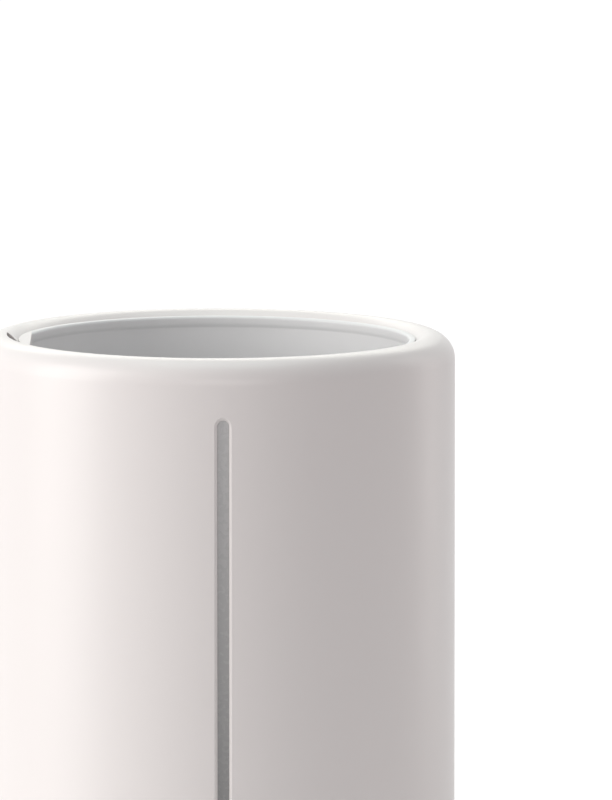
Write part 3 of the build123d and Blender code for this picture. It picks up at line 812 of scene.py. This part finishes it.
class HUMIDIFIER_OT_lid(Operator):
    """Dished lid with its rib and finger recess"""

    bl_idname = "humidifier.lid"
    bl_label = "Lid"

    def execute(self, context):
        x = centre_of("lid_disc").x
        reach = LID_HIGH.x - x
        thick, rib, gasket = 2.6 * MM, 1.8 * MM, 1.6 * MM
        chamfer, rib_chamfer = 0.5 * MM, 0.6 * MM
        top, under = LID_HIGH.z, LID_HIGH.z - thick
        edge, dish, band = 1.1 * MM, 0.7 * MM, 3.0 * MM
        rib_r = GASKET_HIGH.x - x - gasket
        rib_in = rib_r - rib
        profile = [(0.0, under), (rib_in, under), (rib_in, rib_chamfer), (rib_in + chamfer, 0.0)]
        profile += [(rib_r - chamfer, 0.0), (rib_r, rib_chamfer), (rib_r, under), (reach - chamfer, under)]
        profile += [(reach, under + chamfer)]
        profile += arc(reach - edge, top - edge, edge, 0, 90, 8)
        hollow = reach - edge - band
        for step in range(13):
            share = 1 - step / 12
            profile.append((hollow * share, top - dish * (1 - share**2)))
        lid = to_object("lid_cap", turned(profile, x=x, close=False))
        half, round_r = 7 * MM, 6 * MM
        deep, above, mouth = 1.4 * MM, 0.6 * MM, 1.2 * MM
        place = -0.72 * reach
        ends = arc(x + half, place, round_r, -90, 90, 16) + arc(x - half, place, round_r, 90, 270, 16)
        outline = [Vector((px, py, 0)) for px, py in ends]
        combine(lid, prism(outline, top - deep, top + above, mouth))
        finish_piece(lid, "lid", "shell", ("lid_disc",))
        return {"FINISHED"}


# ---------------- stage ----------------


# name, place, size, power in watts, colour
LIGHTS = (
    ("key_left", (-1.5, -0.35, 0.75), (1.1, 1.6), 22.2, (1.0, 0.975, 0.95)),
    ("edge_right", (1.25, 0.75, 0.6), (0.5, 1.3), 3.1, (1.0, 0.94, 0.91)),
    ("front_low", (0.15, -1.6, 0.62), (1.0, 0.5), 3.8, (1.0, 0.97, 0.95)),
    ("overhead", (0.0, 0.1, 1.35), (0.7, 0.7), 2.7, (0.82, 1.0, 0.97)),
    ("back_top", (0.0, 1.2, 1.1), (1.2, 0.5), 4.6, (1.0, 1.0, 0.91)),
)
WORLD_COLOUR = (1.0, 0.925, 0.95)
WORLD_STRENGTH = 0.335
FLOOR_R = 0.74


class HUMIDIFIER_OT_stage(Operator):
    """Pale floor, soft lights, white surroundings and the camera"""

    bl_idname = "humidifier.stage"
    bl_label = "Stage"

    def execute(self, context):
        scene = context.scene
        scene.view_settings.view_transform = "Standard"
        bm = bmesh.new()
        bmesh.ops.create_circle(bm, cap_ends=True, segments=128, radius=FLOOR_R)
        floor = to_object("floor", bm)
        floor.data.materials.append(plastic("pale_floor", (0.82, 0.82, 0.82), (0.6, 0.7), 200.0, 0.02, 0.99))
        self.world(scene)
        for name, place, size, power, colour in LIGHTS:
            self.light(name, place, size, power, colour)
        self.camera(scene)
        return {"FINISHED"}

    def world(self, scene):
        """White to the eye, dimmer as a light."""
        world = bpy.data.worlds.new("studio")
        world.use_nodes = True
        scene.world = world
        tree = world.node_tree
        tree.nodes.clear()
        out = tree.nodes.new("ShaderNodeOutputWorld")
        seen = tree.nodes.new("ShaderNodeBackground")
        seen.inputs["Color"].default_value = (1, 1, 1, 1)
        seen.inputs["Strength"].default_value = 1.05
        lit = tree.nodes.new("ShaderNodeBackground")
        lit.inputs["Color"].default_value = (*WORLD_COLOUR, 1)
        lit.inputs["Strength"].default_value = WORLD_STRENGTH
        path = tree.nodes.new("ShaderNodeLightPath")
        either = tree.nodes.new("ShaderNodeMath")
        either.operation = "MAXIMUM"
        mix = tree.nodes.new("ShaderNodeMixShader")
        tree.links.new(path.outputs["Is Camera Ray"], either.inputs[0])
        tree.links.new(path.outputs["Is Glossy Ray"], either.inputs[1])
        tree.links.new(either.outputs["Value"], mix.inputs["Fac"])
        tree.links.new(lit.outputs["Background"], mix.inputs[1])
        tree.links.new(seen.outputs["Background"], mix.inputs[2])
        tree.links.new(mix.outputs["Shader"], out.inputs["Surface"])

    def light(self, name, place, size, power, colour):
        """A soft rectangular light aimed at the tank."""
        data = bpy.data.lights.new(name, "AREA")
        data.shape = "RECTANGLE"
        data.size, data.size_y = size
        data.energy = power
        data.color = colour
        lamp = bpy.data.objects.new(name, data)
        bpy.context.scene.collection.objects.link(lamp)
        aim = Vector((0, 0, 0.2)) - Vector(place)
        lamp.matrix_world = Matrix.Translation(place) @ aim.to_track_quat("-Z", "Y").to_matrix().to_4x4()

    def camera(self, scene):
        """A long lens, slightly above the rim."""
        data = bpy.data.cameras.new("camera")
        data.sensor_fit = "VERTICAL"
        data.sensor_height = 36.0
        data.lens = 590.4
        data.clip_end = 50
        pitch = math.radians(7.018)
        distance = 5.24
        target = Vector((0.0355, 0.0, 0.28803))
        place = target + distance * Vector((0, -math.cos(pitch), math.sin(pitch)))
        eye = bpy.data.objects.new("camera", data)
        scene.collection.objects.link(eye)
        eye.matrix_world = Matrix.Translation(place) @ Matrix.Rotation(math.radians(90) - pitch, 4, "X")
        scene.camera = eye


CAD_FINISHES = {
    "shell": ("air_duct", "mist_duct"),
    "rubber": ("disc_seal", "valve_washer", "lid_gasket"),
    "steel": ("base_screws", "fan_shaft", "float_magnet", "valve_spring"),
    "brass": ("inlet_pins",),
    "ceramic": ("nebuliser_disc",),
    "filter": ("intake_filter",),
}


class HUMIDIFIER_OT_dress_nodes(Operator):
    """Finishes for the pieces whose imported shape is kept"""

    bl_idname = "humidifier.dress_nodes"
    bl_label = "Dress kept pieces"

    def execute(self, context):
        for finish, names in CAD_FINISHES.items():
            for name in names:
                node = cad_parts[name]
                node.data.materials.clear()
                node.data.materials.append(MATERIALS[finish])
        return {"FINISHED"}


PIECES = (
    HUMIDIFIER_OT_tank_shell,
    HUMIDIFIER_OT_level_window,
    HUMIDIFIER_OT_tank_liner,
    HUMIDIFIER_OT_mist_outlet,
    HUMIDIFIER_OT_tank_bottom,
    HUMIDIFIER_OT_base_casing,
    HUMIDIFIER_OT_power_button,
    HUMIDIFIER_OT_basin,
    HUMIDIFIER_OT_fan,
    HUMIDIFIER_OT_boards,
    HUMIDIFIER_OT_lid,
    HUMIDIFIER_OT_dress_nodes,
    HUMIDIFIER_OT_stage,
)


class HUMIDIFIER_PT_panel(Panel):
    """Lists the pieces in the sidebar"""

    bl_label = "Humidifier"
    bl_idname = "HUMIDIFIER_PT_panel"
    bl_space_type = "VIEW_3D"
    bl_region_type = "UI"
    bl_category = "Humidifier"

    def draw(self, context):
        layout = self.layout
        for group in (context.scene.humidifier_sizes, context.scene.humidifier_colours):
            for name in group.__annotations__:
                layout.prop(group, name)
        for piece in PIECES:
            layout.operator(piece.bl_idname)


CLASSES = (HumidifierSizes, HumidifierColours, *PIECES, HUMIDIFIER_PT_panel)


def register():
    """Add the classes and the scene's settings."""
    for cls in CLASSES:
        bpy.utils.register_class(cls)
    bpy.types.Scene.humidifier_sizes = PointerProperty(type=HumidifierSizes)
    bpy.types.Scene.humidifier_colours = PointerProperty(type=HumidifierColours)


def unregister():
    """Take the classes and settings away again."""
    del bpy.types.Scene.humidifier_sizes
    del bpy.types.Scene.humidifier_colours
    for cls in reversed(CLASSES):
        bpy.utils.unregister_class(cls)


def main():
    """Build everything in order."""
    register()
    build_materials()
    for piece in PIECES:
        section, name = piece.bl_idname.split(".")
        getattr(getattr(bpy.ops, section), name)()


if __name__ == "__main__":
    main()
